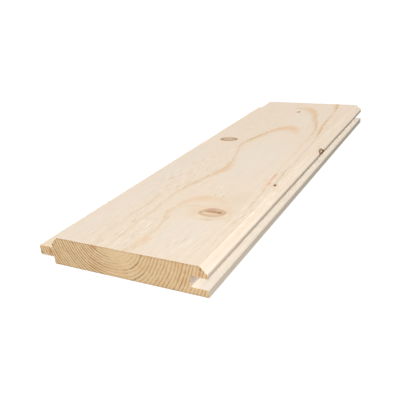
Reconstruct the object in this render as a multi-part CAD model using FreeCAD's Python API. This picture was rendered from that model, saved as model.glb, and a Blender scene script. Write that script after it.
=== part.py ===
import FreeCAD, Part
import math
import os

# A planed softwood board with a tongue along one edge and a matching groove along the other.
# Both long edges of the show face are bevelled, so two boards pushed together leave a V between them.
# The board is one solid and lies show face up on its flat back.
# X runs across the board from tongue to groove, Y along the grain and Z up.
# The origin is on the back face, midway between the ends and midway across the overall width.

# Driving dimensions in millimetres
LENGTH = 450.0            # sawn end to sawn end
COVER_WIDTH = 132.0       # tongue shoulder to groove lips, the width that one laid board covers
THICKNESS = 23.0          # back face to show face
V_BEVEL = 5.8             # run and drop of the 45 degree bevels beside the show face
TONGUE_LENGTH = 13.0      # shoulder to nose
TONGUE_THICKNESS = 8.0
TONGUE_UNDERSIDE = 6.0    # height of the tongue's lower face above the back face
CHEEK_CLEARANCE = 0.2     # room in the groove above and below a neighbour's tongue
NOSE_CLEARANCE = 0.5      # room in the groove in front of a neighbour's tongue
NOSE_RADIUS = 1.0         # eased corners that lead the tongue into a groove
ARRIS_RADIUS = 0.4        # eased outer corners left by the planer
ROOT_RADIUS = 0.5         # inside corners of the groove and beside the tongue

# Places across the board and above its back
NOSE_X = -(TONGUE_LENGTH + COVER_WIDTH) / 2
SHOULDER_X = NOSE_X + TONGUE_LENGTH
LIP_X = SHOULDER_X + COVER_WIDTH
GROOVE_BACK_X = LIP_X - TONGUE_LENGTH - NOSE_CLEARANCE
TONGUE_TOP = TONGUE_UNDERSIDE + TONGUE_THICKNESS
GROOVE_FLOOR = TONGUE_UNDERSIDE - CHEEK_CLEARANCE
GROOVE_ROOF = TONGUE_TOP + CHEEK_CLEARANCE
BEVEL_FOOT = THICKNESS - V_BEVEL


def section_corners():
    """The board's section as corners (x, z, radius), anticlockwise as seen from its near end."""
    return [
        (SHOULDER_X, 0.0, ARRIS_RADIUS),
        (LIP_X, 0.0, ARRIS_RADIUS),
        (LIP_X, GROOVE_FLOOR, ARRIS_RADIUS),
        (GROOVE_BACK_X, GROOVE_FLOOR, ROOT_RADIUS),
        (GROOVE_BACK_X, GROOVE_ROOF, ROOT_RADIUS),
        (LIP_X, GROOVE_ROOF, ARRIS_RADIUS),
        (LIP_X, BEVEL_FOOT, ARRIS_RADIUS),
        (LIP_X - V_BEVEL, THICKNESS, ARRIS_RADIUS),
        (SHOULDER_X + V_BEVEL, THICKNESS, ARRIS_RADIUS),
        (SHOULDER_X, BEVEL_FOOT, ARRIS_RADIUS),
        (SHOULDER_X, TONGUE_TOP, ROOT_RADIUS),
        (NOSE_X, TONGUE_TOP, NOSE_RADIUS),
        (NOSE_X, TONGUE_UNDERSIDE, NOSE_RADIUS),
        (SHOULDER_X, TONGUE_UNDERSIDE, ROOT_RADIUS),
    ]


def rounded_corner(before, corner, after, radius):
    """Start, middle and end of the arc of that radius which touches both sides of a corner."""
    to_before = (before - corner).normalize()
    to_after = (after - corner).normalize()
    half_angle = to_before.getAngle(to_after) / 2
    bisector = (to_before + to_after).normalize()
    tangent_length = radius / math.tan(half_angle)
    centre = corner + bisector * (radius / math.sin(half_angle))
    return (
        corner + to_before * tangent_length,
        centre - bisector * radius,
        corner + to_after * tangent_length,
    )


def section_face(corners, y):
    """A flat face with the given rounded corners, standing across the board at y."""
    points = [FreeCAD.Vector(x, y, z) for x, z, _ in corners]
    count = len(points)
    arcs = []
    for i, (_, _, radius) in enumerate(corners):
        arcs.append(rounded_corner(points[i - 1], points[i], points[(i + 1) % count], radius))
    edges = []
    for i, (start, middle, end) in enumerate(arcs):
        next_start = arcs[(i + 1) % count][0]
        edges.append(Part.Arc(start, middle, end).toShape())
        edges.append(Part.LineSegment(end, next_start).toShape())
    return Part.Face(Part.Wire(edges))


def make_board():
    """The section run along the grain from the near end to the far end."""
    near_end = section_face(section_corners(), -LENGTH / 2)
    return near_end.extrude(FreeCAD.Vector(0, LENGTH, 0))


board = make_board()
os.makedirs("parts", exist_ok=True)
board.exportStep("parts/board.step")
print(f"board: valid {board.isValid()}, solids {len(board.Solids)}, volume {board.Volume:.1f} mm3")
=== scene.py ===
import math

import bmesh
import bpy
import numpy as np
from mathutils import Matrix, Vector


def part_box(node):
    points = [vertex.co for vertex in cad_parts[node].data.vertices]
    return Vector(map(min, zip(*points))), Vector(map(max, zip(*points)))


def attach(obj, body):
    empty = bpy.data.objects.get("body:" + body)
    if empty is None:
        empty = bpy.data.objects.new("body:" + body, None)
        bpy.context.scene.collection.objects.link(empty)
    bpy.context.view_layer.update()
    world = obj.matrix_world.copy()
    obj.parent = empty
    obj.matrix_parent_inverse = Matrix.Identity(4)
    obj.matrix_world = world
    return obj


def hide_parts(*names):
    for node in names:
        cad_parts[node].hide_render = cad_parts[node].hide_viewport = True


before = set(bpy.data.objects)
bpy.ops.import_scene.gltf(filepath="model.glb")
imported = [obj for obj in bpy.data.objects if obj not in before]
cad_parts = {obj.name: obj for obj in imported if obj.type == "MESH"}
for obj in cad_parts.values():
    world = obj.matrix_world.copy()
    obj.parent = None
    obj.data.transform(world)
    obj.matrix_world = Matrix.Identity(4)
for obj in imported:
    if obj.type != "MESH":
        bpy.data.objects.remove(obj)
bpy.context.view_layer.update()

# The materials also paint light and shade in and about the groove, shade in the small hole and shade along
# the sawn ends' rims.
# A planed softwood board, lying show face up and seen from the groove side of its near end.
# Its shape is the CAD board's section run between two sawn ends.
# Sunk knots, a small hole, a crack and a nick in the groove's lip are relief in that shape.
# The wood is drawn by its materials from growth rings, grain bands, knots and fibres.
# X runs across from tongue to groove, Y along the grain and Z up. Lengths below are in millimetres.
MM = 0.001
LOW, HIGH = (np.array(corner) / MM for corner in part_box("board"))
SHOW_FACE = HIGH[2]
LIP = HIGH[0]
NEAR_END, FAR_END = LOW[1], HIGH[1]

# Places in the CAD board's section
GROOVE_DEPTH = 13.5
GROOVE_BACK = LIP - GROOVE_DEPTH
GROOVE_FLOOR = 5.8         # z
GROOVE_ROOF = 14.2         # z
BEVEL = 5.8                # drop of the bevels beside the show face
BEVEL_FOOT = SHOW_FACE - BEVEL

# How finely the look piece is divided
WELD = 1e-6                # metres, within which two CAD points are one
END_NORMAL = 0.5           # above which a face's normal along the board makes it an end
ARC_STEP = 0.15            # along the eased corners
SHOW_STEP = 1.15           # across the show face and its bevels
PLAIN_STEP = 2.6           # across the other faces
SUPPORT = 0.35             # from a corner to the first line of points on a flat
STRAIGHT = 4 * SUPPORT     # gap between two CAD points, above which they bound a flat
STATION_STEP = 2.0         # along the board
FINE_STEP = 0.8            # along the board beside a knot
STATION_DIGITS = 4         # decimals kept of a place along the board
END_EASE = 0.15            # broken edge round the sawn ends
SMOOTH_ANGLE = 40          # degrees, above which an edge stays sharp

# Knots and a small hole as (x, y, z) of the middle, half sizes across, along and deep, and turn in degrees
BIG_KNOT = ((37.7, -146.6, SHOW_FACE), (10.4, 7.2, 14.0), 10)
DARK_KNOT = ((-34.3, 41.2, SHOW_FACE), (9.1, 6.4, 14.0), 8)
PIN_HOLE = ((3.4, 176.0, SHOW_FACE), (2.7, 3.2, 8.0), 0)
TINY_KNOT = ((63.9, -77.5, SHOW_FACE), (1.5, 2.1, 8.0), 0)
LIP_KNOT = ((72.0, 39.6, 17.7), (2.3, 5.4, 2.3), 0)
KNOTS = (BIG_KNOT, DARK_KNOT, PIN_HOLE, TINY_KNOT, LIP_KNOT)
KNOT_MARGIN = 6.0          # with finer stations, before and after each of them

# Sunk rims and faces of knots as depth, middle and half width, the last two as shares of the knot's radius
BIG_KNOT_RIM = (0.12, 1.0, 0.12)
DARK_KNOT_RIM = (0.25, 0.95, 0.12)
DARK_KNOT_FACE = (0.08, 0.0, 0.8)
LIP_KNOT_RIM = (0.5, 0.95, 0.25)
HOLE_DEPTH = 1.4
TINY_KNOT_DEPTH = 0.5

# The crack in the big knot and the nick in the lip, as depth and then middle and half width in x, y and z
CRACK = (0.45, (37.0, 7.0), (-145.3, 0.9), (SHOW_FACE, 2.0))
NICK = (0.9, (LIP, 1.5), (34.5, 1.6), (16.6, 1.2))

# Grain bands as points (x, y, strength, inner fade), in order, with the band's outer side on the left.
# A band is strongest on its line, ends quickly on its outer side and fades slowly inwards.
BANDS = {
    "far_loop": (
        (12, 192.5, 0.0, 14), (16, 190, 0.6, 14), (20.5, 185, 0.95, 13), (27, 171, 1.0, 11),
        (32, 157, 1.0, 9), (36, 143, 1.0, 8), (41, 128, 0.85, 6.5), (45, 114, 0.85, 5.5),
        (48.5, 98, 0.75, 5), (51, 68, 0.45, 4.5), (52, 40, 0.35, 4.5), (53, 15, 0.3, 4.5),
        (54, -10, 0.25, 4.5), (55, -35, 0.0, 4.5),
    ),
    "far_hook": (
        (-8, 196, 0.0, 9), (-3, 195.5, 0.6, 12), (4, 195.5, 0.95, 14), (11, 195, 0.95, 14),
        (16, 191, 0.6, 14), (20.5, 185, 0.0, 13),
    ),
    "middle_loop": (
        (-10, -232, 0.3, 4.5), (-9.5, -200, 0.3, 4.5), (-12, -168, 0.25, 4.5), (-11.5, -140, 0.25, 4.5),
        (-12, -115, 0.5, 4.5), (-9, -98, 0.85, 5), (-6, -83, 0.8, 5), (-2, -69, 0.95, 6),
        (1, -57, 1.0, 9), (2.6, -47, 1.0, 10), (1, -36, 0.9, 9), (0, -24, 0.6, 6),
        (-3.5, -12, 0.45, 5), (-8, 5, 0.45, 5), (-13, 24, 0.7, 5), (-12, 38, 0.8, 5.5),
        (-8, 55, 0.95, 5.5), (-4, 70, 0.95, 6), (0.5, 84, 0.95, 9), (6.5, 95, 1.0, 18),
        (13, 101.5, 1.0, 24), (19, 101.5, 1.0, 24), (25, 96.5, 0.8, 18), (30, 88, 0.45, 12),
        (34, 78, 0.2, 8), (39, 66, 0.0, 5),
    ),
    "middle_flank": (
        (-13, 24, 0.0, 6), (-12, 38, 0.45, 7), (-8, 55, 0.65, 8), (-4, 70, 0.55, 8),
        (0.5, 84, 0.0, 8),
    ),
    "near_loop": (
        (5, -232, 0.45, 6), (8, -218, 0.5, 7), (11, -205, 0.75, 10), (9, -197, 0.5, 7),
        (10, -183, 0.4, 5), (6, -168, 0.4, 5), (2, -154, 0.55, 5.5), (4, -140, 0.6, 7),
        (8, -129, 0.65, 13), (15, -121.5, 0.85, 16), (24, -119, 0.65, 16), (33, -121.5, 0.5, 14),
        (42, -128, 0.3, 10), (49, -138, 0.2, 4), (52, -148, 0.0, 4),
    ),
    "outer_line": (
        (-21, -232, 0.3, 4), (-23, -205, 0.3, 4), (-25, -180, 0.15, 4), (-22, -154, 0.3, 4),
        (-23, -137, 0.35, 4), (-26, -121, 0.25, 4), (-28, -100, 0.0, 4),
    ),
    "inner_line": (
        (6, -152, 0.0, 3), (9.5, -144, 0.35, 3), (15, -139.5, 0.45, 3), (21, -137.5, 0.35, 3),
        (28, -138, 0.0, 3),
    ),
    "right_line": (
        (39.5, 234, 1.0, 8), (42, 224, 1.0, 8), (44.8, 211, 1.0, 6.5), (46.6, 199, 0.9, 5),
        (49, 178, 0.5, 3), (49.8, 155, 0.8, 3.4), (51, 134, 1.0, 3.8), (52.4, 116, 1.0, 4.2),
        (54.6, 99, 1.0, 4.2), (56.6, 81, 0.8, 3.4), (58.6, 64, 0.4, 3), (60, 45, 0.0, 2.4),
    ),
    "thin_line": (
        (58.4, 66, 0.0, 1.8), (59.4, 50, 0.4, 2), (60.2, 30, 0.4, 2), (61, 8, 0.5, 2),
        (61.2, -18, 0.55, 1.8), (61.2, -42, 0.65, 2.2), (62.6, -60, 0.8, 2.6), (63.5, -72, 0.7, 2.6),
        (65, -84, 0.0, 2.6),
    ),
    "red_streak": (
        (53, -20, 0.0, 3), (55.5, -45, 0.35, 3), (56.8, -60, 0.95, 5), (58, -80, 0.85, 5),
        (60.4, -107, 0.3, 4), (62, -128, 0.3, 3), (64, -160, 0.0, 3),
    ),
}
OUTER_SHARE = 0.4          # of a band's inner fade, over which it ends on its outer side
PATH_STEPS = 12            # between two points of a band
BAND_BATCHES = 40          # that a mesh's points are handled in, to save memory
BAND_DEPTH = 8.0           # below the show face, where the bands have died out

# Growth rings about the pith, which runs above the show face
PITH = (-7.0, 35.0)        # x, z
RING_WIDTH = 2.27          # on the tongue side
GROOVE_SIDE_SHARE = 0.88   # of those rings that the groove side has in the same distance
FIRST_RING = 0.33          # share of a ring that has grown at the pith
STRONG_RINGS = (8, 12, 15, 22, 24, 26)  # counted from the pith

# Colours as the eye sees them, red, green and blue from 0 to 255
CREAM = (239, 222, 201)
CREAM_PALE = (238, 224, 207)
CREAM_LIGHT = (252, 243, 228)
CREAM_PINK = (242, 220, 203)
FIBRE_BROWN = (218, 193, 161)
FLECK_DARK = (214, 192, 152)
END_EARLY = (245, 215, 170)
END_LATE = (148, 95, 40)
END_RED = (237, 196, 147)
END_DULL = (204, 160, 106)
END_RIM_SHADE = (178, 150, 112)
FLOOR = (110, 110, 110)

# Tints that the wood's colour is multiplied by, as red, green, blue and a last value that isn't used
TAN_TINT = (0.935, 0.84, 0.695, 1.0)
ORANGE_TINT = (0.95, 0.795, 0.645, 1.0)
OLIVE_TINT = (0.925, 0.85, 0.68, 1.0)
PALE_TINT = (0.97, 0.85, 0.70, 1.0)
BROWN_TINT = (0.90, 0.70, 0.48, 1.0)
RED_TINT = (0.96, 0.80, 0.70, 1.0)
THIN_TINT = (0.90, 0.84, 0.78, 1.0)
CORE_TINT = (0.80, 0.71, 0.60, 1.0)
# Painted light and shade in and about the groove: shade inside it and on its back wall, light in its deep
# half and on the lips' faces, and shade along the lips' top edges
GROOVE_SHADE = (0.77, 0.835, 0.905, 1.0)
INNER_GROOVE_LIGHT = (1.11, 1.105, 1.10, 1.0)
GROOVE_BACK_SHADE = (0.84, 0.78, 0.79, 1.0)
LIP_BOUNCE_LIGHT = (1.03, 1.02, 1.02, 1.0)
LOW_LIP_BOUNCE_LIGHT = (1.10, 1.12, 1.14, 1.0)
LIP_EDGE_SHADE = (0.84, 0.85, 0.86, 1.0)
BAND_TINTS = {
    "far_loop": ORANGE_TINT,
    "far_hook": OLIVE_TINT,
    "middle_loop": ORANGE_TINT,
    "middle_flank": OLIVE_TINT,
    "near_loop": PALE_TINT,
    "inner_line": TAN_TINT,
    "outer_line": TAN_TINT,
    "right_line": BROWN_TINT,
    "thin_line": THIN_TINT,
    "red_streak": RED_TINT,
}
SECOND_TINTS = {"thin_line": THIN_TINT, "red_streak": RED_TINT}

# Looks of knots as colours of body, rim and halo, the rim's half width and the halo's reach, both in radii
BIG_KNOT_LOOK = ((230, 200, 167), (212, 181, 148), (230, 199, 163), 0.2, 2.6)
DARK_KNOT_LOOK = ((216, 188, 161), (173, 143, 115), (240, 219, 195), 0.28, 1.9)
LIP_KNOT_LOOK = ((206, 172, 140), (124, 88, 60), (244, 214, 186), 0.6, 1.9)

# Paler patches, inside the loops and along the tongue side, as (x, y) and half sizes
PLAIN_PATCHES = (
    ((22, -10), (34, 110)),
    ((32, -190), (28, 42)),
    ((27, 145), (20, 42)),
    ((-48, -110), (28, 220)),
)

# Places with many flecks as (x, y), half sizes and strength
FLECK_PATCHES = (
    ((-10, -190), (50, 90), 0.8),
    ((-24, -80), (38, 120), 0.9),
    ((62, -110), (18, 160), 0.9),
    ((20, -95), (24, 30), 0.6),
    ((42, -200), (30, 45), 0.6),
    ((-25, 120), (30, 110), 0.4),
    ((58, 110), (12, 120), 0.5),
)

# Marks as (x, y, z), half sizes across, along and deep, turn, softness, colour and strength.
# A softness of 1 fades from the middle outwards, a small one leaves a clear edge.
DEEP = 5.0                 # half size of most marks into the wood
BIG_KNOT_MARKS = (
    ((46.0, -116.0, SHOW_FACE), (17.0, 24.0, DEEP), 0, 1.0, (228, 204, 176), 0.4),
    ((22.0, -143.0, SHOW_FACE), (11.0, 11.0, DEEP), 0, 1.0, (238, 213, 180), 0.3),
    ((31.0, -156.0, SHOW_FACE), (8.0, 3.4, DEEP), 0, 1.0, (250, 229, 197), 0.6),
    ((37.0, -143.2, SHOW_FACE), (10.4, 4.2, DEEP), 8, 0.7, (208, 172, 144), 0.85),
    ((33.5, -140.4, SHOW_FACE), (6.4, 2.4, DEEP), 25, 0.8, (214, 170, 144), 0.9),
    ((46.2, -145.6, SHOW_FACE), (2.8, 3.8, DEEP), 0, 0.8, (205, 168, 136), 0.3),
    ((36.5, -145.0, SHOW_FACE), (8.8, 2.5, DEEP), 6, 0.6, (184, 148, 116), 0.95),
    ((43.2, -145.2, SHOW_FACE), (3.0, 3.0, DEEP), 0, 0.7, (170, 132, 99), 0.9),
    ((40.4, -142.2, SHOW_FACE), (2.2, 1.5, DEEP), 0, 0.8, (236, 208, 178), 0.95),
    ((34.5, -149.0, SHOW_FACE), (6.4, 1.6, DEEP), 8, 0.8, (240, 216, 186), 0.8),
    ((37.0, -151.6, SHOW_FACE), (8.0, 1.2, DEEP), 8, 0.8, (208, 178, 146), 0.6),
    ((27.6, -149.0, SHOW_FACE), (2.6, 2.8, DEEP), 0, 0.8, (190, 166, 138), 0.45),
    ((39.0, -159.8, SHOW_FACE), (8.0, 1.7, DEEP), 8, 0.9, (212, 186, 158), 0.6),
    ((50.8, -149.0, SHOW_FACE), (2.4, 4.5, DEEP), 0, 1.0, (252, 230, 196), 0.6),
)
DARK_KNOT_MARKS = (
    ((-32.7, 29.0, SHOW_FACE), (7.0, 4.0, DEEP), 0, 1.0, (245, 226, 198), 0.5),
    ((-19.5, 47.0, SHOW_FACE), (5.5, 2.6, DEEP), 35, 1.0, (246, 230, 209), 0.6),
    ((-41.4, 39.4, SHOW_FACE), (2.8, 3.6, DEEP), 0, 0.7, (172, 146, 121), 0.9),
    ((-26.8, 42.8, SHOW_FACE), (2.6, 3.4, DEEP), 0, 0.7, (174, 147, 121), 0.9),
    ((-36.0, 40.8, SHOW_FACE), (4.8, 1.6, DEEP), 6, 0.8, (192, 163, 137), 0.8),
    ((-31.2, 44.0, SHOW_FACE), (1.2, 3.8, DEEP), 27, 0.8, (188, 160, 135), 0.8),
    ((-33.5, 35.6, SHOW_FACE), (6.6, 1.9, DEEP), 8, 0.8, (180, 153, 127), 0.8),
)
SMALL_MARKS = (
    ((9.0, 204.0, SHOW_FACE), (13.0, 10.0, DEEP), 0, 1.0, (240, 211, 178), 0.45),
    ((0.2, 183.4, SHOW_FACE), (1.8, 3.4, DEEP), 0, 0.8, (255, 246, 226), 1.0),
    ((-2.4, 192.0, SHOW_FACE), (1.0, 3.6, DEEP), 0, 0.9, (200, 178, 142), 0.8),
    # Painted shade in the small hole, over its own darker wood
    (PIN_HOLE[0], (3.4, 4.2, DEEP), 0, 0.5, (148, 126, 104), 0.95),
    ((63.9, -78.5, SHOW_FACE), (4.6, 8.5, DEEP), 0, 1.0, (240, 204, 180), 0.75),
    ((65.9, -84.2, SHOW_FACE), (1.6, 4.0, DEEP), 0, 0.9, (240, 204, 180), 0.7),
    ((57.2, -70.0, SHOW_FACE), (3.2, 14.0, DEEP), 6, 1.0, (236, 204, 178), 0.5),
    ((63.9, -77.3, SHOW_FACE), (2.0, 2.8, DEEP), 0, 0.45, (116, 84, 64), 1.0),
    ((11.0, -204.0, SHOW_FACE), (8.0, 6.0, DEEP), 20, 1.0, (238, 209, 180), 0.8),
    ((-34.0, -88.0, SHOW_FACE), (2.4, 6.0, DEEP), 0, 1.0, (232, 190, 164), 0.8),
    ((23.7, -112.3, SHOW_FACE), (1.0, 2.2, DEEP), 0, 0.9, (196, 168, 139), 0.8),
    ((31.8, -114.0, SHOW_FACE), (1.0, 2.2, DEEP), 0, 0.9, (196, 168, 139), 0.8),
    ((6.6, 157.9, SHOW_FACE), (1.4, 3.2, DEEP), 0, 0.9, (248, 236, 218), 0.8),
    ((-64.0, -218.0, 14.0), (10.0, 26.0, DEEP), 0, 1.0, (240, 224, 186), 0.7),
    # Painted light: a paler, greyer tone over the groove floor and lower lip at the near end, in place of
    # the painted groove shade there
    ((69.5, NEAR_END, GROOVE_FLOOR), (6.0, 17.0, 3.0), 0, 1.0, (226, 216, 204), 0.9),
)
END_MARKS = (
    ((67.2, NEAR_END, 20.4), (2.0, DEEP, 2.6), 0, 1.0, (146, 106, 72), 0.7),
    ((66.6, NEAR_END, 16.8), (2.2, DEEP, 3.4), 0, 1.0, (200, 130, 84), 0.6),
    ((-62.3, NEAR_END, 10.0), (2.6, DEEP, 4.4), 0, 1.0, (186, 122, 62), 0.6),
    ((-72.0, NEAR_END, 7.4), (2.6, DEEP, 3.0), 0, 1.0, (120, 92, 62), 0.6),
    ((-20.0, NEAR_END, 21.6), (5.0, DEEP, 3.2), 0, 1.0, (196, 136, 76), 0.6),
)
LIP_KNOT_MARKS = (
    ((67.3, 49.6, 22.4), (3.4, 9.0, 3.4), 0, 1.0, (244, 212, 182), 0.6),
    ((68.6, 42.1, 21.1), (1.2, 2.4, 1.2), 0, 0.9, (214, 184, 158), 0.7),
    ((71.9, 40.6, 17.9), (0.8, 2.0, 0.8), 0, 0.8, (244, 216, 184), 0.9),
    ((LIP, 32.8, 16.4), (1.8, 3.6, 2.0), 0, 0.6, (76, 50, 34), 1.0),
    ((LIP, 44.4, 16.4), (1.8, 3.4, 2.2), 0, 0.6, (58, 38, 26), 1.0),
)

# The camera, fitted to the photograph's edges
CAMERA_PLACE = (217.35, -486.49, 194.99)
CAMERA_HEADING = 29.22     # degrees from looking along +Y, towards -X
CAMERA_DROP = 22.66        # degrees below level
CAMERA_ROLL = -4.45        # degrees
CAMERA_LENS = 48.23        # on a sensor 36 wide
SENSOR = 36.0

# Light. Directions point from the board towards the light.
AMBIENT = 0.06             # brightness of the plain surroundings
KEY_FROM = (0.3, -0.8, 1.0)
KEY_POWER = 4.0            # watts on each square metre that faces the light
KEY_SPREAD = 14            # degrees across, as seen from the board
SHADOW_SHARE = 0.15        # of the key light that casts shadows
SHADOW_FROM = (0.6, -0.6, 1.0)
BACK_FROM = (-0.8, 0.6, -0.3)
BACK_POWER = 1.7
BACK_SPREAD = 50
FILL_PLACE = (330.0, -330.0, 110.0)
FILL_POWER = 0.34          # watts
FILL_SIZE = 200.0
WHITE = (1.0, 1.0, 1.0, 1.0)

# The floor and its walls
FLOOR_HALF = 10.0          # metres
WALL_HEIGHT = 6.0          # metres
FLOOR_DROP = 0.2           # below the board
FLOOR_ROUGHNESS = 0.9
FLOOR_GLOW = 0.86          # share of white that it shows without any light


# Shape

def section_outline(node):
    """The CAD board's section as points (x, z), read from its near end and anticlockwise as seen there."""
    solid = bmesh.new()
    solid.from_mesh(node.data)
    bmesh.ops.remove_doubles(solid, verts=solid.verts, dist=WELD)
    near = min(v.co.y for v in solid.verts) + WELD
    neighbours = {}
    for edge in solid.edges:
        at_end = all(v.co.y < near for v in edge.verts)
        if at_end and any(abs(face.normal.y) < END_NORMAL for face in edge.link_faces):
            a, b = edge.verts
            neighbours.setdefault(a, []).append(b)
            neighbours.setdefault(b, []).append(a)
    loop = [next(iter(neighbours))]
    previous = None
    while len(loop) < len(neighbours):
        here = loop[-1]
        step = next(v for v in neighbours[here] if v is not previous)
        previous = here
        loop.append(step)
    points = np.array([(v.co.x, v.co.z) for v in loop]) / MM
    solid.free()
    following = np.roll(points, -1, axis=0)
    area = (points[:, 0] * following[:, 1] - points[:, 1] * following[:, 0]).sum()
    return points if area > 0 else points[::-1]


def divided_outline(outline):
    """The outline with its arcs thinned and its straights divided, more finely where the show face is."""
    gaps = np.linalg.norm(np.roll(outline, -1, axis=0) - outline, axis=1)
    kept = []
    for i, point in enumerate(outline):
        bounds_straight = gaps[i] > STRAIGHT or gaps[i - 1] > STRAIGHT
        if bounds_straight or not kept or np.linalg.norm(point - kept[-1]) > ARC_STEP:
            kept.append(point)
    points = []
    for start, end in zip(kept, kept[1:] + kept[:1]):
        points.append(start)
        length = np.linalg.norm(end - start)
        if length > STRAIGHT:
            on_show_side = min(start[1], end[1]) > SHOW_FACE / 2 and abs(end[0] - start[0]) > SUPPORT
            step = SHOW_STEP if on_show_side else PLAIN_STEP
            count = max(2, math.ceil((length - 2 * SUPPORT) / step) + 1)
            places = np.linspace(SUPPORT, length - SUPPORT, count) / length
            points.extend(start + t * (end - start) for t in places)
    return np.array(points)


def outward_normals(outline):
    """Unit normals of the outline's points."""
    along = np.roll(outline, -1, axis=0) - np.roll(outline, 1, axis=0)
    normals = np.column_stack([along[:, 1], -along[:, 0]])
    return normals / np.linalg.norm(normals, axis=1, keepdims=True)


def stations():
    """Places along the board where the section stands, closer together beside the knots."""
    coarse = np.arange(NEAR_END + STATION_STEP, FAR_END - STATION_STEP / 2, STATION_STEP)
    fine = []
    for (_, y, _), (_, half_length, _), _ in KNOTS:
        reach = half_length + KNOT_MARGIN
        coarse = coarse[abs(coarse - y) > reach]
        fine.append(np.arange(y - reach, y + reach, FINE_STEP))
    eased = [NEAR_END, NEAR_END + END_EASE, FAR_END - END_EASE, FAR_END]
    return np.unique(np.concatenate([coarse, *fine, eased]).round(STATION_DIGITS))


def knot_radius(points, knot):
    """How far points are from a knot's middle, where 1 is its rim."""
    middle, half_sizes, turn = knot
    x, y, z = (points - middle).T
    c, s = math.cos(math.radians(turn)), math.sin(math.radians(turn))
    turned = np.column_stack([c * x + s * y, c * y - s * x, z])
    return np.linalg.norm(turned / half_sizes, axis=1)


def hump(value, middle, half_width):
    """1 at the middle, falling smoothly to almost nothing two half widths away."""
    return np.exp(-(((value - middle) / half_width) ** 2))


def ring_hollow(radius, hollow):
    """Depth of a sunk rim or face round a knot's middle."""
    depth, middle, half_width = hollow
    return depth * hump(radius, middle, half_width)


def spot_hollow(points, hollow):
    """Depth of a small hollow with a middle and a half width on each axis."""
    depth, *extents = hollow
    humps = [hump(points[:, axis], *extent) for axis, extent in enumerate(extents)]
    return depth * np.prod(humps, axis=0)


def bowl(radius):
    """1 at a hollow's middle, falling roundly to 0 at its rim."""
    return np.clip(1.0 - radius ** 2, 0.0, 1.0)


def sunk_depth(points):
    """How far the surface is sunk at each point, in the knots, the crack, the hole and the lip's nick."""
    dark = knot_radius(points, DARK_KNOT)
    depth = ring_hollow(knot_radius(points, BIG_KNOT), BIG_KNOT_RIM)
    depth += spot_hollow(points, CRACK)
    depth += ring_hollow(dark, DARK_KNOT_RIM) + ring_hollow(dark, DARK_KNOT_FACE)
    depth += HOLE_DEPTH * bowl(knot_radius(points, PIN_HOLE))
    depth += TINY_KNOT_DEPTH * bowl(knot_radius(points, TINY_KNOT))
    depth += ring_hollow(knot_radius(points, LIP_KNOT), LIP_KNOT_RIM)
    return depth + spot_hollow(points, NICK)


def smooth_path(points):
    """A smooth run through the points, each with any number of values."""
    points = np.array(points, dtype=float)
    ends = (2 * points[0] - points[1], 2 * points[-1] - points[-2])
    padded = np.vstack([ends[0], points, ends[1]])
    t = np.linspace(0.0, 1.0, PATH_STEPS, endpoint=False)[:, None]
    runs = []
    for a, b, c, d in zip(padded, padded[1:], padded[2:], padded[3:]):
        cubic = (3 * b - a - 3 * c + d) * t ** 3
        square = (2 * a - 5 * b + 4 * c - d) * t ** 2
        runs.append(0.5 * (2 * b + (c - a) * t + square + cubic))
    return np.vstack(runs + [points[-1:]])


def band_field(points, band):
    """Offset outside the band, its strength and its inner fade, at each point."""
    path = smooth_path(band)
    along = np.gradient(path[:, :2], axis=0)
    nearest = np.empty(len(points), dtype=int)
    for chunk in np.array_split(np.arange(len(points)), BAND_BATCHES):
        gaps = points[chunk, None, :2] - path[None, :, :2]
        nearest[chunk] = (gaps ** 2).sum(axis=2).argmin(axis=1)
    gap = points[:, :2] - path[nearest, :2]
    side = along[nearest, 0] * gap[:, 1] - along[nearest, 1] * gap[:, 0]
    offset = np.linalg.norm(gap, axis=1) * np.sign(side)
    reach = np.clip(1.0 - (SHOW_FACE - points[:, 2]) / BAND_DEPTH, 0.0, 1.0)
    strength = np.clip(path[nearest, 2], 0.0, 1.0) * reach
    return np.column_stack([offset, strength, path[nearest, 3]])


def swept_points(outline, places):
    """The outline's points at each station, drawn in a little at the sawn ends, and their normals."""
    normals = outward_normals(outline)
    count = len(outline)
    points, outward = [], []
    for y in places:
        inset = END_EASE if y in (places[0], places[-1]) else 0.0
        ring = outline - inset * normals
        points.append(np.column_stack([ring[:, 0], np.full(count, y), ring[:, 1]]))
        outward.append(np.column_stack([normals[:, 0], np.zeros(count), normals[:, 1]]))
    return np.vstack(points), np.vstack(outward)


def swept_faces(count, stretches):
    """Faces between each station and the next, where each has the same count of points."""
    faces = []
    for stretch in range(stretches):
        base = stretch * count
        for i in range(count):
            following = (i + 1) % count
            faces.append((base + i, base + following, base + count + following, base + count + i))
    return faces


def board_mesh():
    """The board as one closed mesh with its relief, carrying the grain bands as fields for its material."""
    outline = divided_outline(section_outline(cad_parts["board"]))
    places = stations()
    points, outward = swept_points(outline, places)
    shaped = points - outward * sunk_depth(points)[:, None]
    count = len(outline)
    sides = swept_faces(count, len(places) - 1)
    near_cap = tuple(reversed(range(count)))
    far_cap = tuple(range(len(points) - count, len(points)))
    faces = [*sides, near_cap, far_cap]
    mesh = bpy.data.meshes.new("planed_board")
    mesh.from_pydata((shaped * MM).tolist(), [], faces)
    mesh.polygons.foreach_set("use_smooth", [True] * len(faces))
    mesh.materials.append(planed_wood())
    mesh.materials.append(sawn_end())
    near_rim = range(count)
    far_rim_and_caps = range(len(sides) - count, len(faces))
    for face in (*near_rim, *far_rim_and_caps):
        mesh.polygons[face].material_index = len(mesh.materials) - 1
    for name, band in BANDS.items():
        field = mesh.attributes.new(name, "FLOAT_VECTOR", "POINT")
        field.data.foreach_set("vector", band_field(points, band).astype(np.float32).ravel())
    mesh.validate()
    mesh.set_sharp_from_angle(angle=math.radians(SMOOTH_ANGLE))
    return mesh


def board_piece():
    """The dressed board, in place of the CAD board."""
    piece = bpy.data.objects.new("planed_board", board_mesh())
    bpy.context.scene.collection.objects.link(piece)
    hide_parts("board")
    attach(piece, "root")


# Materials

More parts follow.
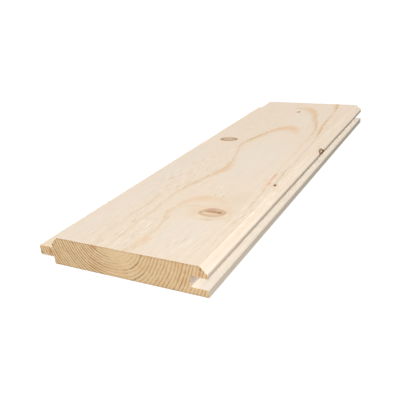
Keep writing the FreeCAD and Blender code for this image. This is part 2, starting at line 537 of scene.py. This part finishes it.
# Waves are counted in each millimetre, across, along and up the board.
# A ramp is the start and end of what it reads, and then the values that it gives there.
NOISE_MIDDLE = 0.5         # that a noise's values lie round


def light_of(colour):
    """A seen colour as the linear red, green and blue that a shader takes, by the usual sRGB curve."""
    parts = (value / 255 for value in colour)
    linear = [p / 12.92 if p <= 0.04045 else ((p + 0.055) / 1.055) ** 2.4 for p in parts]
    return (*linear, 1.0)


class Graph:
    """A material's nodes, with a short call for each kind. Values may be numbers or sockets."""

    def __init__(self, name):
        self.material = bpy.data.materials.new(name)
        self.material.use_nodes = True
        self.tree = self.material.node_tree
        self.shader = self.tree.nodes["Principled BSDF"]

    def node(self, kind, inputs=None, **settings):
        made = self.tree.nodes.new(kind)
        for name, value in settings.items():
            setattr(made, name, value)
        for socket, value in (inputs or {}).items():
            self.feed(made.inputs[socket], value)
        return made

    def feed(self, socket, value):
        if isinstance(value, bpy.types.NodeSocket):
            self.tree.links.new(value, socket)
        else:
            socket.default_value = value

    def math(self, operation, a, b=0.0, c=0.0):
        return self.node("ShaderNodeMath", {0: a, 1: b, 2: c}, operation=operation).outputs[0]

    def vector(self, operation, a, b):
        return self.node("ShaderNodeVectorMath", {0: a, 1: b}, operation=operation).outputs["Vector"]

    def noise(self, place, waves, detail=2.0, roughness=0.5):
        """Cloudy noise from 0 to 1, stretched along the board where it has fewer waves that way."""
        stretched = self.vector("MULTIPLY", place, waves)
        inputs = {"Vector": stretched, "Scale": 1.0, "Detail": detail, "Roughness": roughness}
        return self.node("ShaderNodeTexNoise", inputs).outputs["Fac"]

    def ease(self, value, start, end, first=0.0, last=1.0):
        """Runs smoothly from first to last while value goes from start to end."""
        inputs = {"Value": value, "From Min": start, "From Max": end, "To Min": first, "To Max": last}
        return self.node("ShaderNodeMapRange", inputs, interpolation_type="SMOOTHSTEP").outputs["Result"]

    def mix(self, factor, a, b, blend="MIX"):
        inputs = {"Factor": factor, 6: a, 7: b}
        return self.node("ShaderNodeMix", inputs, data_type="RGBA", blend_type=blend).outputs[2]

    def place(self):
        """Where a point is on the board, in millimetres."""
        spot = self.node("ShaderNodeTexCoord").outputs["Object"]
        return self.vector("MULTIPLY", spot, (1 / MM, 1 / MM, 1 / MM))

    def parts(self, vector):
        return self.node("ShaderNodeSeparateXYZ", {0: vector}).outputs

    def radius(self, place, middle, half_sizes, turn=0.0):
        """How far a point is from an oval's middle, where 1 is its rim."""
        rotation = (0.0, 0.0, math.radians(turn))
        inputs = {"Vector": place, "Location": middle, "Rotation": rotation, "Scale": half_sizes}
        moved = self.node("ShaderNodeMapping", inputs, vector_type="TEXTURE").outputs["Vector"]
        return self.node("ShaderNodeVectorMath", {0: moved}, operation="LENGTH").outputs["Value"]

    def dab(self, place, middle, half_sizes, turn=0.0, softness=1.0):
        """1 inside a soft oval on the board and 0 outside it."""
        return self.ease(self.radius(place, middle, half_sizes, turn), 1.0 - softness, 1.0, 1.0, 0.0)

    def drift(self, value, waves):
        """Cloudy noise from 0 to 1 along a single value."""
        inputs = {"W": value, "Scale": waves, "Detail": 1.0}
        return self.node("ShaderNodeTexNoise", inputs, noise_dimensions="1D").outputs["Fac"]

    def chance(self, value):
        """An even random number from 0 to 1 for each whole value."""
        return self.node("ShaderNodeTexWhiteNoise", {"W": value}, noise_dimensions="1D").outputs["Value"]

    def shaken(self, place, waves, amount):
        """The place moved about by up to half an amount each way, to make ragged edges."""
        stretched = self.vector("MULTIPLY", place, waves)
        cloud = self.node("ShaderNodeTexNoise", {"Vector": stretched, "Scale": 1.0}).outputs["Color"]
        centred = self.vector("SUBTRACT", cloud, (NOISE_MIDDLE, NOISE_MIDDLE, NOISE_MIDDLE))
        return self.vector("ADD", place, self.vector("MULTIPLY", centred, (amount, amount, amount)))

    def relief(self, height, length, strength):
        """Gives the shader a fine relief, in which a height of 1 stands for the given length."""
        inputs = {"Strength": strength, "Distance": length * MM, "Height": height}
        normal = self.node("ShaderNodeBump", inputs).outputs["Normal"]
        self.feed(self.shader.inputs["Normal"], normal)


# How far the rings swing from true circles, and how their number changes across the board
SLOW_SWING = 2.0
SLOW_SWING_WAVES = (0.035, 0.006, 0.035)
QUICK_SWING = 1.4
QUICK_SWING_WAVES = (0.3, 0.02, 0.3)
RING_PACE = (-12.0, 18.0, 1.0, GROOVE_SIDE_SHARE)


def pith_distance(graph, place):
    """Distance from the pith, with the slow and quick swings that rings have along a tree."""
    x, _, z = graph.parts(place)[:3]
    across = graph.math("SUBTRACT", x, PITH[0])
    up = graph.math("SUBTRACT", z, PITH[1])
    squares = graph.math("ADD", graph.math("POWER", across, 2.0), graph.math("POWER", up, 2.0))
    slow = graph.noise(place, SLOW_SWING_WAVES, detail=1.0)
    quick = graph.noise(place, QUICK_SWING_WAVES, detail=2.0)
    slow = graph.math("SUBTRACT", slow, NOISE_MIDDLE)
    distance = graph.math("SQRT", squares)
    distance = graph.math("MULTIPLY_ADD", slow, SLOW_SWING, distance)
    quick = graph.math("SUBTRACT", quick, NOISE_MIDDLE)
    distance = graph.math("MULTIPLY_ADD", quick, QUICK_SWING, distance)
    return graph.math("MULTIPLY", distance, graph.ease(x, *RING_PACE))


# A ring's late wood, over the share of the ring that has grown
RING_DRIFT = 0.6           # how far a ring may be moved, so that widths differ
RING_DRIFT_WAVES = 0.25    # in each millimetre from the pith
LATE_START = (0.45, 0.8, 0.0, 1.0)
LATE_END = (0.88, 1.0, 1.0, 0.0)
EARLY_SHADE = 0.25         # of a ring's darkness, that its early wood rises to

# A ring's darkness, by chance and then from place to place across the board
LEAST_DARKNESS = 0.65
CHANCE_DARKNESS = 0.25
GROOVE_SIDE_DARKNESS = (-8.0, 12.0, 1.0, 0.62)
GROOVE_EDGE_DARKNESS = (28.0, 40.0, 1.0, 1.35)
STRONG_DARKNESS = (-10.0, 36.0, 1.0, 0.7)
YOUNG_REACH = (-10.0, 2.0, 13.0, 21.0)     # how far from the pith the faint young rings go
YOUNG_END = (0.0, 6.0, 0.3, 1.0)           # how the rings darken beyond them
SAME_RING = 0.5            # within which two rings' numbers are one


def late_wood(graph, distance, x):
    """0 in each ring's early wood, rising to a thin line of its own darkness where its late wood ends."""
    spread = graph.math("MULTIPLY_ADD", graph.drift(distance, RING_DRIFT_WAVES), RING_DRIFT, distance)
    age = graph.math("ADD", graph.math("DIVIDE", spread, RING_WIDTH), FIRST_RING)
    grown = graph.math("FRACT", age)
    line = graph.math("MULTIPLY", graph.ease(grown, *LATE_START), graph.ease(grown, *LATE_END))
    rising = graph.math("MULTIPLY", graph.math("POWER", grown, 2.0), EARLY_SHADE)
    number = graph.math("FLOOR", age)
    darkness = graph.math("MULTIPLY_ADD", graph.chance(number), CHANCE_DARKNESS, LEAST_DARKNESS)
    darkness = graph.math("MULTIPLY", darkness, graph.ease(x, *GROOVE_SIDE_DARKNESS))
    darkness = graph.math("MULTIPLY", darkness, graph.ease(x, *GROOVE_EDGE_DARKNESS))
    strong_darkness = graph.ease(x, *STRONG_DARKNESS)
    for strong in STRONG_RINGS:
        chosen = graph.math("MULTIPLY", graph.math("COMPARE", number, strong, SAME_RING), strong_darkness)
        darkness = graph.math("MAXIMUM", darkness, chosen)
    young = graph.ease(x, *YOUNG_REACH)
    settled = graph.ease(graph.math("SUBTRACT", distance, young), *YOUNG_END)
    shade = graph.math("MAXIMUM", line, rising)
    darkness = graph.math("MULTIPLY", darkness, settled)
    return graph.math("MULTIPLY", shade, darkness)


# How ragged a grain band is, where its dark core ends and which bands are too wide to have one
RAGGED_SHARE = 1.4         # of a band's inner fade
RAGGED_FADE = 8.0          # inner fade beyond which bands get no more ragged
CORE_END = (0.2, 1.2, 1.0, 0.0)
WIDE_BAND = (5.0, 10.0, 0.0, 1.0)


def band_parts(graph, name, ragged):
    """A grain band's tint, dark core and width at a point, from the field that the mesh carries."""
    field = graph.node("ShaderNodeAttribute", attribute_name=name, attribute_type="GEOMETRY")
    offset, strength, fade = graph.parts(field.outputs["Vector"])[:3]
    swing = graph.math("SUBTRACT", ragged, NOISE_MIDDLE)
    jag = graph.math("MULTIPLY", swing, graph.math("MINIMUM", fade, RAGGED_FADE))
    jagged = graph.math("MULTIPLY_ADD", jag, RAGGED_SHARE, offset)
    outside = graph.ease(jagged, 0.0, graph.math("MULTIPLY", fade, OUTER_SHARE), 1.0, 0.0)
    inside = graph.ease(jagged, graph.math("MULTIPLY", fade, -1.0), 0.0)
    tint = graph.math("MULTIPLY", graph.math("MULTIPLY", outside, inside), strength)
    beside = graph.ease(graph.math("ABSOLUTE", jagged), *CORE_END)
    wide = graph.ease(fade, *WIDE_BAND)
    narrow = graph.math("SUBTRACT", 1.0, wide)
    core = graph.math("MULTIPLY", graph.math("MULTIPLY", beside, narrow), strength)
    return tint, core, wide


# Wood between the bands: soft edges of its pale patches, clouds of paleness and blush, and fine streaks
PATCH_SOFTNESS = 0.7
CLOUD_WAVES = (0.04, 0.012, 0.04)
CLOUD_PALENESS = (0.2, 0.6, 0.5, 1.0)
BLUSH_WAVES = (0.06, 0.02, 0.06)
BLUSH_STRENGTH = (0.5, 0.75, 0.0, 0.6)
STREAK_WAVES = (0.5, 0.012, 0.5)
STREAK_STRENGTH = (0.5, 0.75, 0.0, 0.14)


def pale_wood(graph, place):
    """Wood between the bands: warm cream, paler in patches, with fine streaks along the grain."""
    plain = 0.0
    for (x, y), (across, along) in PLAIN_PATCHES:
        half_sizes = (across, along, SHOW_FACE)
        patch = graph.dab(place, (x, y, SHOW_FACE), half_sizes, softness=PATCH_SOFTNESS)
        plain = graph.math("MAXIMUM", plain, patch)
    clouds = graph.noise(place, CLOUD_WAVES, detail=2.0)
    paleness = graph.math("MULTIPLY", plain, graph.ease(clouds, *CLOUD_PALENESS))
    colour = graph.mix(paleness, light_of(CREAM), light_of(CREAM_PALE))
    blush = graph.noise(place, BLUSH_WAVES, detail=2.0)
    colour = graph.mix(graph.ease(blush, *BLUSH_STRENGTH), colour, light_of(CREAM_PINK))
    streaks = graph.noise(place, STREAK_WAVES, detail=3.0, roughness=0.6)
    return graph.mix(graph.ease(streaks, *STREAK_STRENGTH), colour, light_of(FIBRE_BROWN))


# Long streaks on the show face and bevel beside the groove, as ramps over x, z and their noise
BESIDE_GROOVE = (40.0, 58.0, 0.0, 1.0)
ABOVE_GROOVE = (15.0, 17.5, 0.0, 1.0)
LONG_STREAK_WAVES = (0.5, 0.009, 0.5)
LONG_DARK_STREAKS = (0.52, 0.68, 0.0, 0.2)
LONG_LIGHT_STREAKS = (0.48, 0.34, 0.0, 0.3)


def streaked(graph, colour, place):
    """The colour with long dark and light streaks beside the groove."""
    x, _, z = graph.parts(place)[:3]
    beside = graph.ease(x, *BESIDE_GROOVE)
    above = graph.ease(z, *ABOVE_GROOVE)
    where = graph.math("MULTIPLY", beside, above)
    streaks = graph.noise(place, LONG_STREAK_WAVES, detail=3.0, roughness=0.7)
    dark = graph.math("MULTIPLY", where, graph.ease(streaks, *LONG_DARK_STREAKS))
    light = graph.math("MULTIPLY", where, graph.ease(streaks, *LONG_LIGHT_STREAKS))
    colour = graph.mix(dark, colour, light_of(FIBRE_BROWN))
    return graph.mix(light, colour, light_of(CREAM_LIGHT))


# Flecks: how many there are outside their patches, down to what height, and how dark and light they get
LEAST_FLECKS = 0.12
FLECK_HEIGHT = (15.0, 17.0, 0.0, 1.0)
FLECK_WAVES = (0.6, 0.08, 0.6)
DARK_FLECKS = (0.55, 0.7, 0.0, 1.0)
LIGHT_FLECKS = (0.45, 0.3, 0.0, 1.0)
DARK_FLECK_SHARE = 0.8


def flecked(graph, colour, place):
    """The colour with short dark and light flecks along the grain, and how dark they are."""
    busy = LEAST_FLECKS
    for (x, y), (across, along), strength in FLECK_PATCHES:
        patch = graph.dab(place, (x, y, SHOW_FACE), (across, along, SHOW_FACE))
        busy = graph.math("MAXIMUM", busy, graph.math("MULTIPLY", patch, strength))
    busy = graph.math("MULTIPLY", busy, graph.ease(graph.parts(place)[2], *FLECK_HEIGHT))
    specks = graph.noise(place, FLECK_WAVES, detail=3.0, roughness=0.6)
    dark = graph.math("MULTIPLY", graph.ease(specks, *DARK_FLECKS), busy)
    light = graph.math("MULTIPLY", graph.ease(specks, *LIGHT_FLECKS), busy)
    colour = graph.mix(graph.math("MULTIPLY", dark, DARK_FLECK_SHARE), colour, light_of(FLECK_DARK))
    return graph.mix(light, colour, light_of(CREAM_LIGHT)), dark


# Where the groove and its lips lie, as ramps over x
BEYOND_BACK = (GROOVE_BACK - 1.0, GROOVE_BACK, 0.0, 1.0)
BESIDE_BACK = (GROOVE_BACK + 0.2, GROOVE_BACK + 1.0, 1.0, 0.0)
INNER_HALF = (GROOVE_BACK + 4.5, GROOVE_BACK + 7.5, 1.0, 0.0)
BEFORE_LIP = (LIP - 0.4, LIP - 0.1, 1.0, 0.0)
LIP_FACE = (LIP - 0.3, LIP - 0.05, 0.0, 1.0)
LIP_EDGE = (LIP - 1.0, LIP - 0.6, 0.0, 1.0)

# The same over z
ABOVE_FLOOR = (GROOVE_FLOOR - 0.4, GROOVE_FLOOR, 0.0, 1.0)
BELOW_ROOF = (GROOVE_ROOF, GROOVE_ROOF + 0.4, 1.0, 0.0)
BELOW_BEVEL = (BEVEL_FOOT - 0.4, BEVEL_FOOT + 0.2, 1.0, 0.0)
LOW_TO_HIGH_LIP = (GROOVE_FLOOR, GROOVE_ROOF, 0.0, 1.0)
UPPER_EDGE_FOOT = (BEVEL_FOOT - 0.8, BEVEL_FOOT - 0.2, 0.0, 1.0)
UPPER_EDGE_TOP = (BEVEL_FOOT + 0.3, BEVEL_FOOT + 0.7, 1.0, 0.0)
LOWER_EDGE_FOOT = (GROOVE_FLOOR - 1.2, GROOVE_FLOOR - 0.6, 0.0, 1.0)
LOWER_EDGE_TOP = (GROOVE_FLOOR + 0.7, GROOVE_FLOOR + 1.2, 1.0, 0.0)


def groove_painted_light(graph, colour, place):
    """The colour with painted light and shade in the groove and on the faces and edges of its lips: painted
    shade, cooler, inside the groove and on its back wall, painted light in its deep half and on the lips'
    faces, and painted shade along the lips' top edges.
    """
    x, _, z = graph.parts(place)[:3]
    beyond_back = graph.ease(x, *BEYOND_BACK)
    before_lip = graph.ease(x, *BEFORE_LIP)
    above_floor = graph.ease(z, *ABOVE_FLOOR)
    below_roof = graph.ease(z, *BELOW_ROOF)
    high = graph.math("MULTIPLY", above_floor, below_roof)
    inside = graph.math("MULTIPLY", graph.math("MULTIPLY", beyond_back, before_lip), high)
    at_back = graph.math("MULTIPLY", inside, graph.ease(x, *BESIDE_BACK))
    on_lip = graph.math("MULTIPLY", graph.ease(x, *LIP_FACE), graph.ease(z, *BELOW_BEVEL))
    # Painted shade inside the groove, darker and cooler than the wood outside it
    colour = graph.mix(inside, colour, GROOVE_SHADE, "MULTIPLY")
    deep_in = graph.math("MULTIPLY", inside, graph.ease(x, *INNER_HALF))
    # Painted light in the groove's deep half, where the upper lip blocks the shadow-casting light
    colour = graph.mix(deep_in, colour, INNER_GROOVE_LIGHT, "MULTIPLY")
    # Painted shade on the groove's back wall and just in front of it
    colour = graph.mix(at_back, colour, GROOVE_BACK_SHADE, "MULTIPLY")
    # Painted light on the lips' faces, as if thrown up from the floor: most on the lower lip, a little on
    # the upper
    lip_painted_light = graph.mix(graph.ease(z, *LOW_TO_HIGH_LIP), LOW_LIP_BOUNCE_LIGHT, LIP_BOUNCE_LIGHT)
    colour = graph.mix(on_lip, colour, lip_painted_light, "MULTIPLY")
    # Painted shade along the top edges of both lips
    upper_edge = graph.math("MULTIPLY", graph.ease(z, *UPPER_EDGE_FOOT), graph.ease(z, *UPPER_EDGE_TOP))
    lower_edge = graph.math("MULTIPLY", graph.ease(z, *LOWER_EDGE_FOOT), graph.ease(z, *LOWER_EDGE_TOP))
    edges = graph.math("MAXIMUM", upper_edge, lower_edge)
    on_edge = graph.math("MULTIPLY", edges, graph.ease(x, *LIP_EDGE))
    return graph.mix(on_edge, colour, LIP_EDGE_SHADE, "MULTIPLY")


# Noises that make the bands ragged, change their tint from place to place and break their dark cores
RAGGED_WAVES = (0.3, 0.13, 0.3)
TINT_WAVES = (0.12, 0.04, 0.12)
TINT_CHANGE = (0.4, 0.6, 0.0, 0.5)
CORE_WAVES = (0.3, 0.12, 0.3)
CORE_STRENGTH = (0.4, 0.65, 0.15, 1.0)


def grain_bands(graph, colour, place):
    """The colour with every grain band laid over it."""
    ragged = graph.noise(place, RAGGED_WAVES, detail=4.0, roughness=0.65)
    patches = graph.ease(graph.noise(place, TINT_WAVES), *TINT_CHANGE)
    broken = graph.ease(graph.noise(place, CORE_WAVES), *CORE_STRENGTH)
    for name in BANDS:
        tint, core, wide = band_parts(graph, name, ragged)
        second = SECOND_TINTS.get(name, TAN_TINT)
        tone = graph.mix(graph.math("MAXIMUM", patches, wide), second, BAND_TINTS[name])
        colour = graph.mix(tint, colour, tone, "MULTIPLY")
        colour = graph.mix(graph.math("MULTIPLY", core, broken), colour, CORE_TINT, "MULTIPLY")
    return colour


# A cut branch's parts, placed by the share of its radius
HALO_START = 0.9
HALO_STRENGTH = 0.45
KNOT_BODY = (0.9, 1.06, 0.95, 0.0)
KNOT_INSIDE = (0.8, 1.0, 1.0, 0.0)
KNOT_RINGS = 30.0          # radians of ring waves from the middle to the rim
KNOT_RING_SHADE = (-0.2, 1.0, 0.0, 0.3)
KNOT_RIM = 0.95            # where the rim's darkest line lies
RIM_CORE = 0.04            # half width of that line
RIM_STRENGTH = 0.9


def knot_face(graph, colour, place, knot, look):
    """A cut branch: a body with its own fine rings, a dark rim and a warm halo round it."""
    body, rim, halo, rim_reach, halo_reach = look
    radius = graph.radius(place, *knot)
    around = graph.ease(radius, HALO_START, halo_reach, HALO_STRENGTH, 0.0)
    colour = graph.mix(around, colour, light_of(halo))
    colour = graph.mix(graph.ease(radius, *KNOT_BODY), colour, light_of(body))
    rings = graph.math("SINE", graph.math("MULTIPLY", radius, KNOT_RINGS))
    inside = graph.ease(radius, *KNOT_INSIDE)
    shade = graph.math("MULTIPLY", inside, graph.ease(rings, *KNOT_RING_SHADE))
    colour = graph.mix(shade, colour, light_of(rim))
    from_rim = graph.math("ABSOLUTE", graph.math("SUBTRACT", radius, KNOT_RIM))
    beside = graph.ease(from_rim, RIM_CORE, rim_reach, RIM_STRENGTH, 0.0)
    return graph.mix(beside, colour, light_of(rim))


def marked(graph, colour, place, marks):
    """The colour with a list of marks laid over it."""
    for middle, half_sizes, turn, softness, tone, strength in marks:
        cover = graph.dab(place, middle, half_sizes, turn, softness)
        colour = graph.mix(graph.math("MULTIPLY", cover, strength), colour, light_of(tone))
    return colour


# The planed faces' roughness and fine relief
FIBRE_WAVES = (2.2, 0.05, 2.2)
FIBRE_ROUGHNESS = (0.3, 0.7, 0.5, 0.68)
FIBRE_RISE = 0.5           # as a share of the relief
FLECK_RISE = -0.9          # the same, where dark flecks are sunk
PLANED_RELIEF = 0.1
PLANED_RELIEF_STRENGTH = 0.8


def planed_surface(graph, place, flecks):
    """Roughness and fine relief of planed wood, along the grain."""
    fibres = graph.noise(place, FIBRE_WAVES, detail=3.0, roughness=0.6)
    graph.feed(graph.shader.inputs["Roughness"], graph.ease(fibres, *FIBRE_ROUGHNESS))
    raised = graph.math("MULTIPLY", fibres, FIBRE_RISE)
    height = graph.math("MULTIPLY_ADD", flecks, FLECK_RISE, raised)
    graph.relief(height, PLANED_RELIEF, PLANED_RELIEF_STRENGTH)


# Faint rings on the long faces, and how much the outlines of their marks are shaken
FACE_RING_WAVES = (0.2, 0.03, 0.2)
FACE_RING_BREAKS = (0.4, 0.7, 0.0, 1.0)
FACE_RING_SHARE = 0.08
SHAKE_WAVES = (0.45, 0.45, 0.45)
SHAKE = 2.2


def planed_wood():
    """The long faces: pale wood with fibres, faint rings, orange grain bands and knots, and painted light
    and shade in and about the groove.
    """
    graph = Graph("planed_softwood")
    place = graph.place()
    colour = streaked(graph, pale_wood(graph, place), place)
    rings = late_wood(graph, pith_distance(graph, place), graph.parts(place)[0])
    broken = graph.ease(graph.noise(place, FACE_RING_WAVES), *FACE_RING_BREAKS)
    ring_strength = graph.math("MULTIPLY", graph.math("MULTIPLY", rings, broken), FACE_RING_SHARE)
    colour = graph.mix(ring_strength, colour, light_of(END_LATE))
    colour, flecks = flecked(graph, colour, place)
    colour = grain_bands(graph, colour, place)
    colour = groove_painted_light(graph, colour, place)
    shaken = graph.shaken(place, SHAKE_WAVES, SHAKE)
    colour = knot_face(graph, colour, shaken, BIG_KNOT, BIG_KNOT_LOOK)
    colour = marked(graph, colour, shaken, BIG_KNOT_MARKS)
    colour = knot_face(graph, colour, shaken, DARK_KNOT, DARK_KNOT_LOOK)
    colour = marked(graph, colour, shaken, DARK_KNOT_MARKS)
    colour = marked(graph, colour, shaken, SMALL_MARKS)
    colour = knot_face(graph, colour, place, LIP_KNOT, LIP_KNOT_LOOK)
    colour = marked(graph, colour, place, LIP_KNOT_MARKS)
    graph.feed(graph.shader.inputs["Base Color"], colour)
    planed_surface(graph, place, flecks)
    return graph.material


# The sawn ends: rings faint near the middle, clouds, painted shade along the top and bottom rims, specks
# and saw marks
FAINT_X = -1.0             # where the rings are faintest
FAINT_RINGS = (3.0, 14.0, 0.45, 1.0)       # over the distance across from there
GROOVE_SIDE_RINGS = (-5.0, 15.0, 1.0, 0.9) # over x
LEAST_RINGS = (-8.0, 14.0, 0.6, 0.4)       # over x, what is left of a ring where it is most broken
RING_BREAK_WAVES = (0.3, 0.3, 0.3)
RING_BREAKS = (0.35, 0.62)                 # start and end of the ramp from there to a whole ring
END_CLOUD_WAVES = (0.09, 0.09, 0.09)
END_REDNESS = (0.45, 0.7, 0.0, 0.6)
END_DULLNESS = (4.0, 28.0, 0.1, 0.2)       # over x
# Painted shade along the end's top and bottom rims, as ramps over z
TOP_RIM_SHADE = (SHOW_FACE - 1.4, SHOW_FACE - 0.4, 0.0, 0.4)
LOW_RIM_SHADE = (0.6, 1.8, 0.4, 0.0)
SPECK_WAVES = (1.3, 1.3, 1.3)
SPECK_STRENGTH = (0.5, 0.75, 0.0, 0.3)
SPECK_ROUGHNESS = (0.3, 0.7, 0.7, 0.85)
SPECK_RISE = 0.6           # as a share of the saw marks' relief
SAW_WAVES = (1.5, 1.0, 0.12)
SAWN_RELIEF = 0.12
SAWN_RELIEF_STRENGTH = 0.6


def sawn_end():
    """The sawn ends: tan end grain with thin dark late wood in rings about the pith, and painted shade
    along the top and bottom rims.
    """
    graph = Graph("sawn_end_grain")
    place = graph.place()
    distance = pith_distance(graph, place)
    x, _, z = graph.parts(place)[:3]
    late = late_wood(graph, distance, x)
    from_faint = graph.math("ABSOLUTE", graph.math("SUBTRACT", x, FAINT_X))
    late = graph.math("MULTIPLY", late, graph.ease(from_faint, *FAINT_RINGS))
    late = graph.math("MULTIPLY", late, graph.ease(x, *GROOVE_SIDE_RINGS))
    clouds = graph.noise(place, END_CLOUD_WAVES, detail=2.0)
    colour = graph.mix(graph.ease(clouds, *END_REDNESS), light_of(END_EARLY), light_of(END_RED))
    colour = graph.mix(graph.ease(x, *END_DULLNESS), colour, light_of(END_DULL))
    # Painted shade along the end's top and bottom rims
    top_edge_shade = graph.ease(z, *TOP_RIM_SHADE)
    low_edge_shade = graph.ease(z, *LOW_RIM_SHADE)
    colour = graph.mix(graph.math("MAXIMUM", top_edge_shade, low_edge_shade), colour, light_of(END_RIM_SHADE))
    least = graph.ease(x, *LEAST_RINGS)
    uneven = graph.ease(graph.noise(place, RING_BREAK_WAVES, detail=3.0), *RING_BREAKS, least, 1.0)
    colour = graph.mix(graph.math("MULTIPLY", late, uneven), colour, light_of(END_LATE))
    specks = graph.noise(place, SPECK_WAVES, detail=3.0, roughness=0.7)
    colour = graph.mix(graph.ease(specks, *SPECK_STRENGTH), colour, light_of(END_LATE))
    colour = marked(graph, colour, place, END_MARKS)
    graph.feed(graph.shader.inputs["Base Color"], colour)
    graph.feed(graph.shader.inputs["Roughness"], graph.ease(specks, *SPECK_ROUGHNESS))
    saw_marks = graph.noise(place, SAW_WAVES, detail=2.0)
    height = graph.math("ADD", graph.math("MULTIPLY", specks, SPECK_RISE), saw_marks)
    graph.relief(height, SAWN_RELIEF, SAWN_RELIEF_STRENGTH)
    return graph.material


# Stage

def pale_floor():
    """A plain pale floor, far wider than the view, with plain walls where it ends."""
    sides = ((-1, -1), (1, -1), (1, 1), (-1, 1))
    count = len(sides)
    corners = [(FLOOR_HALF * x, FLOOR_HALF * y, z) for z in (0.0, WALL_HEIGHT) for x, y in sides]
    walls = [((i + 1) % count, i, i + count, (i + 1) % count + count) for i in range(count)]
    mesh = bpy.data.meshes.new("floor")
    mesh.from_pydata(corners, [], [tuple(range(count)), *walls])
    graph = Graph("pale_floor")
    graph.shader.inputs["Base Color"].default_value = light_of(FLOOR)
    graph.shader.inputs["Roughness"].default_value = FLOOR_ROUGHNESS
    graph.shader.inputs["Emission Color"].default_value = WHITE
    graph.shader.inputs["Emission Strength"].default_value = FLOOR_GLOW
    mesh.materials.append(graph.material)
    floor = bpy.data.objects.new("floor", mesh)
    floor.location.z = (LOW[2] - FLOOR_DROP) * MM
    floor.visible_diffuse = False
    floor.visible_glossy = False
    floor.visible_shadow = False
    bpy.context.scene.collection.objects.link(floor)


def soft_light(name, source, power, spread, shadows):
    """An even light from one side, as a large lamp far away gives."""
    lamp = bpy.data.lights.new(name, "SUN")
    lamp.energy = power
    lamp.angle = math.radians(spread)
    lamp.use_shadow = shadows
    light = bpy.data.objects.new(name, lamp)
    light.rotation_euler = Vector(source).to_track_quat("Z", "Y").to_euler()
    bpy.context.scene.collection.objects.link(light)
    return light


def fill_light():
    """A lamp beside the near end, which leaves the far end a little darker."""
    lamp = bpy.data.lights.new("fill_light", "AREA")
    lamp.energy = FILL_POWER
    lamp.size = FILL_SIZE * MM
    light = bpy.data.objects.new("fill_light", lamp)
    light.location = Vector(FILL_PLACE) * MM
    light.rotation_euler = Vector(FILL_PLACE).to_track_quat("Z", "Y").to_euler()
    light.visible_camera = False
    bpy.context.scene.collection.objects.link(light)


def camera():
    """A camera where the photograph was taken from."""
    lens = bpy.data.cameras.new("camera")
    lens.sensor_width = SENSOR
    lens.lens = CAMERA_LENS
    made = bpy.data.objects.new("camera", lens)
    heading = Matrix.Rotation(math.radians(CAMERA_HEADING), 4, "Z")
    drop = Matrix.Rotation(math.radians(90 - CAMERA_DROP), 4, "X")
    roll = Matrix.Rotation(math.radians(CAMERA_ROLL), 4, "Z")
    place = Matrix.Translation(Vector(CAMERA_PLACE) * MM)
    made.matrix_world = place @ heading @ drop @ roll
    bpy.context.scene.collection.objects.link(made)
    bpy.context.scene.camera = made


def studio():
    """Dim light from all round, a key light above the near end, a low light behind and a fill lamp."""
    world = bpy.data.worlds.new("studio")
    world.use_nodes = True
    background = world.node_tree.nodes["Background"]
    background.inputs["Color"].default_value = WHITE
    background.inputs["Strength"].default_value = AMBIENT
    bpy.context.scene.world = world
    bpy.context.scene.view_settings.view_transform = "Standard"
    soft_light("key_light", KEY_FROM, KEY_POWER * (1 - SHADOW_SHARE), KEY_SPREAD, False)
    soft_light("shadow_light", SHADOW_FROM, KEY_POWER * SHADOW_SHARE, KEY_SPREAD, True)
    back = soft_light("back_light", BACK_FROM, BACK_POWER, BACK_SPREAD, False)
    back.visible_glossy = False
    fill_light()


board_piece()
pale_floor()
studio()
camera()
